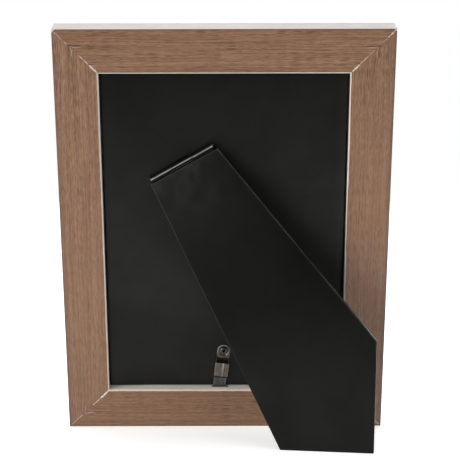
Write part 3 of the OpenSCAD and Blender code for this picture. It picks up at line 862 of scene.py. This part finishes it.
def black_steel_painted_highlight(name, turned=0.0):
    """Black enamelled steel with a bright metal strip along the crown of the hinge's barrel, set where the barrel's
    highlight lies: a painted highlight. x runs along the pin.
    turned is how far, in radians, the piece's own axes are turned about it."""
    s = Shader(name)
    raw = s.split(s.xyz)
    along = s.noise(s.scaled(s.xyz, (80, 0, 0)), 1, 3, 0.55)
    lines = s.noise(s.scaled(s.xyz, (90, 3600, 3600)), 1, 2, 0.6)
    angle = s.math("ARCTAN2", raw[1], raw[2])
    far = s.math("ABSOLUTE", s.math("SUBTRACT", angle, s.math("MULTIPLY_ADD", along, 0.50, -0.25 - turned)))
    out = s.math("SQRT", s.math("ADD", s.math("MULTIPLY", raw[1], raw[1]), s.math("MULTIPLY", raw[2], raw[2])))
    skin = s.math("MULTIPLY", s.span(out, 0.00115, 0.00128), s.span(out, 0.00150, 0.00140))
    # painted highlight: the bright strip's angle and width follow the barrel's highlight
    crown = s.math("MULTIPLY", s.span(far, 0.40, 0.18), skin)
    crown = s.math("MULTIPLY", crown, s.span(lines, 0.30, 0.52, 0.72, 1.0))
    tone = s.mix(s.span(lines, 0.35, 0.7), (0.0018, 0.0018, 0.0020), (0.004, 0.004, 0.004))
    if turned:
        # painted highlight: a grey line on the leaf's upper rim, where it catches the light
        rim = s.span(s.math("ABSOLUTE", s.math("ADD", raw[1], 0.00161)), 0.00011, 0.00005)
        rim = s.math("MULTIPLY", rim, s.math("MULTIPLY", s.span(out, 0.00150, 0.00165), s.span(along, 0.38, 0.56, 0.4, 1.0)))
        tone = s.mix(rim, tone, (0.085, 0.085, 0.083))
    # the strip's bright tone, dimmer on the leg's leaf: painted highlight
    tone = s.mix(crown, tone, (0.44, 0.435, 0.427) if turned else (0.72, 0.711, 0.698))
    s.set(Base_Color=tone, Metallic=crown, Roughness=s.span(along, 0.3, 0.7, 0.30, 0.40, smooth=False), Specular_IOR_Level=0.07)
    s.bump((lines, 0.000008))
    return s.mat


def build_hinge():
    board = black_steel_painted_highlight("hinge_black_steel")
    # leaf on the board
    s = Shape()
    holes = [[(x, y) for x, y in circle(1.2, 28, hx, -9, 360, 0)] for hx in (9, 29)]
    s.plate([rounded([(0.4, -14), (37.9, -14), (37.9, -2.35), (0.4, -2.35)], [1.2, 1.2, 0.2, 0.2])] + holes, -1.4, -0.9, 0.05, 0.14)
    leaf = s.finish("hinge_board_leaf_sheet", HINGE, [board])
    s = Shape()
    for x0, x1 in ((0.4, 12.0), (26.0, 37.9)):
        s.plate([curl(-3.0, -KNUCKLE_R, -PIN_R - 0.02, -90, 215)], x0, x1, 0.1, 0.1, at=ALONG_X, seg=2)
    boolean(leaf, [s.finish("curls", HINGE, [], smooth=0)], "UNION")
    soften(leaf, 33)
    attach(leaf, "frame")
    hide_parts("hinge_board_leaf")
    # leaf on the leg, drawn with the leg open
    s = Shape()
    s.plate([rounded([(0.8, -16), (37.5, -16), (37.5, -1.6), (0.8, -1.6)], [1.2, 1.2, 0.25, 0.25])], 0.8, 1.3, 0.14, 0.05)
    leaf = s.finish("hinge_leg_leaf_sheet", LEG, [black_steel_painted_highlight("hinge_black_steel_leg", math.radians(OPEN))])
    parts = []
    s = Shape()
    s.plate([curl(-2.4, KNUCKLE_R - 0.04, PIN_R + 0.02, 90, -215 + 90 - 0)], 12.1, 25.9, 0.1, 0.1, at=ALONG_X, seg=2)
    parts.append(s.finish("curl", LEG, [], smooth=0))
    s = Shape()
    for x in (7, 15, 23, 31):
        s.plate([[(x - 1, -14), (x + 1, -14), (x + 1, -13.5), (x - 1, -13.5)]], 1.2, 2.9)
    parts.append(s.finish("prongs", LEG, [], smooth=0))
    s = Shape()
    s.plate([[(15, 0.95), (23, 0.95), (23, 2.0), (15, 2.0)]], -1.3, -0.7, 0.05, 0.05, seg=2)
    parts.append(s.finish("stop", HINGE, [], smooth=0))
    boolean(leaf, parts, "UNION")
    soften(leaf, 33)
    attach(leaf, "leg")
    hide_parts("hinge_leg_leaf")
    finish_cad("hinge_pin", metal("pin_steel", (0.060, 0.059, 0.058), (0.040, 0.039, 0.038), 0.36, 0.0, (1, 1, 1)))
    finish_cad("hinge_rivets", metal("rivet_steel", (0.05, 0.05, 0.05), (0.03, 0.03, 0.03), 0.34))


# ---------------------------------------------------------------- latch
def slider_steel(name):
    """Drawn steel that slides: brown-grey thumb pad with a painted highlight on its rib, a painted shadow line below
    it, grey tongue with painted highlights on its edges. y runs back along the slide.
    """
    s = Shader(name)
    raw = s.split(s.xyz)
    lines = s.noise(s.scaled(s.xyz, (2300, 130, 900)), 1, 3, 0.6)
    patch = s.noise(s.xyz, 620, 4, 0.62)
    rag = s.math("MULTIPLY", s.math("SUBTRACT", patch, 0.5), 0.0005)
    y = s.math("ADD", raw[1], rag)
    tone = s.mix(s.span(patch, 0.36, 0.66), (0.088, 0.078, 0.068), (0.120, 0.108, 0.096))
    # painted highlight: a bright streak along the pad's rib, fading downwards
    rib = s.span(s.math("ABSOLUTE", s.math("SUBTRACT", raw[0], 0.00070)), 0.00062, 0.00018)
    rib = s.math("MULTIPLY", rib, s.span(y, -0.0140, -0.0072, 0.30, 1.0))
    tone = s.mix(rib, tone, (0.32, 0.295, 0.27))
    rust = s.math("MULTIPLY", s.span(s.math("ABSOLUTE", raw[0]), 0.0027, 0.0036), s.span(patch, 0.35, 0.6, 0.2, 0.85))
    tone = s.mix(rust, tone, (0.19, 0.14, 0.10))
    # painted highlight on the tongue's rounded side edges
    pale = s.math("MULTIPLY", s.span(s.math("ABSOLUTE", raw[0]), 0.0024, 0.0033), 0.55)
    tongue = s.mix(s.span(patch, 0.36, 0.66), (0.060, 0.059, 0.057), (0.085, 0.083, 0.079))
    tongue = s.mix(pale, tongue, (0.15, 0.148, 0.142))
    tone = s.mix(s.span(y, -0.01535, -0.01560), tone, tongue)
    # painted shadow: a dark line on the tongue just below the pad's edge
    tone = s.mix(s.math("MULTIPLY", s.span(y, -0.01555, -0.01575), s.span(y, -0.01665, -0.01640)), tone, (0.018, 0.016, 0.015))
    tone = s.mix(s.span(lines, 0.55, 0.80, 0, 0.35), tone, s.mix(1.0, tone, (1.7, 1.7, 1.7), "MULTIPLY"))
    s.set(Base_Color=tone, Metallic=1.0, Roughness=s.span(patch, 0.3, 0.7, 0.28, 0.42, smooth=False))
    s.bump((lines, 0.000010), (patch, 0.000010))
    return s.mat


def build_latch():
    steel = metal("latch_base_steel", (0.088, 0.079, 0.071), (0.055, 0.050, 0.045), 0.30, 0.25, (1, 0.1, 1), shade=-0.0043, ring=True)
    dish = metal("latch_dish_steel", (0.135, 0.126, 0.118), (0.059, 0.052, 0.046), 0.24, 0.2)
    # base: a ring end, dished round its rivet, and a channel with curled edges
    t = 0.5
    outer = [(3.15, 1.75), (3.45, 1.75), (3.74, 1.66), (3.92, 1.45), (4.0, 1.15), (4.0, 0.55), (3.92, 0.26), (3.74, 0.08), (3.45, 0.0)]
    inner = [(3.15, 1.37), (3.36, 1.37), (3.50, 1.30), (3.57, 1.16), (3.6, 1.0), (3.6, 0.72), (3.55, 0.58), (3.42, 0.51), (3.25, t)]
    loop = [(x, z) for x, z in outer] + [(-x, z) for x, z in outer[::-1]] + [(-x, z) for x, z in inner] + [(x, z) for x, z in inner[::-1]]
    area = sum(a[0] * b[1] - b[0] * a[1] for a, b in zip(loop, loop[1:] + loop[:1]))
    s = Shape()
    s.plate([loop if area > 0 else loop[::-1]], 4.5, 15.4, 0.06, 0.06, at=DOWN_Y, seg=2)
    base = s.finish("latch_base_pressing", LATCH, [steel, dish], smooth=0)
    s = Shape()
    ring = [(3.72, -5.1), (3.68, 0.0)] + circle(3.66, 40, y=-0.25, a0=0, a1=180, ends=True) + [(-3.68, 0.0), (-3.72, -5.1)]
    s.plate([ring, circle(2.93, 48, y=-0.3, a0=360, a1=0)], 0.0, t, 0.05, 0.14)
    plate = s.finish("ring", LATCH, [], smooth=0)
    s = Shape()
    s.lathe([(1.0, 0.0), (2.99, 0.0), (2.99, 0.44), (2.90, 0.45), (2.80, 0.40), (2.52, 0.16), (2.40, 0.09), (2.26, 0.06), (1.0, 0.06)],
            at=Matrix.Translation((0, -0.3, 0)), steps=64, mat=1)
    well = s.finish("well", LATCH, [], smooth=0)
    boolean(base, [plate, well], "UNION")
    boolean(base, [box_cutter((-3.4, -12.0, -1.0), (3.4, -4.5, 0.9), LATCH, 0)])
    soften(base, 30)
    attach(base, "latch")
    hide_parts("latch_base")
    # slider: a tongue with a ribbed, crowned thumb pad
    s = Shape()
    s.plate([rounded([(-3.5, -24.1), (3.5, -24.1), (3.5, -7.0), (-3.5, -7.0)], [0.7, 0.7, 0.3, 0.3])], 0.62, 1.26, 0.06, 0.2)
    slider = s.finish("latch_slider_pressing", LATCH, [slider_steel("latch_slider_steel")], smooth=0)
    s = Shape()
    s.plate([[(-3.0, -15.15), (3.0, -15.15), (3.0, -7.05), (-3.0, -7.05)]], 1.1, 2.0)
    web = s.finish("web", LATCH, [], smooth=0)
    s = Shape()
    top = []
    for i in range(81):
        x = 3.85 - 7.7 * i / 80
        z = 2.5 - 0.24 * (x / 4) ** 2
        z -= 0.14 * math.exp(-((x - 1.75) / 0.34) ** 2) + 0.12 * math.exp(-((x + 0.55) / 0.42) ** 2)
        top.append((x, z))
    s.plate([[(-3.85, 1.9), (3.85, 1.9)] + top], 7.02, 15.18, 0.09, 0.09, at=DOWN_Y, seg=2)
    crown = s.finish("crown", LATCH, [], smooth=0)
    boolean(slider, [web, crown], "UNION")
    soften(slider, 30)
    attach(slider, "slider")
    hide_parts("latch_slider")
    # eyelet rivet, rolled over on both sides of the board
    s = Shape()
    prof = [(0.82, -2.5), (0.82, 0.30), (0.86, 0.50), (0.96, 0.66), (1.14, 0.76), (1.36, 0.78), (1.62, 0.73), (1.85, 0.60), (2.02, 0.42), (2.08, 0.26),
            (2.0, 0.12), (1.95, 0.06), (1.85, 0.0), (1.85, -2.0), (2.6, -2.0), (2.6, -2.25), (2.45, -2.45), (2.2, -2.5)]
    s.lathe(prof, at=Matrix.Translation((0, -0.3, 0)))
    rivet = s.finish("latch_rivet_eyelet", LATCH, [metal("eyelet_steel", (0.100, 0.084, 0.071), (0.063, 0.051, 0.043), 0.34, 0.35)], smooth=42)
    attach(rivet, "frame")
    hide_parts("latch_rivet")


# ---------------------------------------------------------------- stage
def build_floor():
    s = Shape()
    s.plate([rounded([(-900, -1500), (900, -1500), (900, 240), (-900, 240)], 60, 8)], -12.0, 0.0, 0.0, 2.0)
    o = s.finish("floor", Matrix(), [floor_stuff("pale_floor")], smooth=40)


look()
studio()
build_floor()
build_rails()
build_nails()
build_filler()
build_hinge()
build_latch()
finish_cad("back_board", black_skin("board_black", (0.0040, 0.0040, 0.0029), 0.35, 0.50, 0.235, seed=1.3, painted_board_light=True), 0.30)
finish_cad("leg_board", black_skin("leg_black", (0.0033, 0.0033, 0.0025), 0.62, 0.42, 0.15, seed=4.1, near_edge=0.0012,
                                   wear_and_highlight=(0.085, 0.085, 0.082), sheen=0.50), 0.50, segments=3)
finish_cad("board_tabs", metal("tab_steel", (0.58, 0.57, 0.55), (0.38, 0.37, 0.36), 0.32), 0.05)
finish_cad("filler_card", card("grey_filler_card", (0.42, 0.40, 0.36), (0.20, 0.17, 0.13), 700))
finish_cad("photo_sheet", card("blank_photo_paper", (0.84, 0.83, 0.80), (0.70, 0.68, 0.64), 1500, 0.55))
finish_cad("glass_pane", glass("clear_glass_pane"), 0.25)
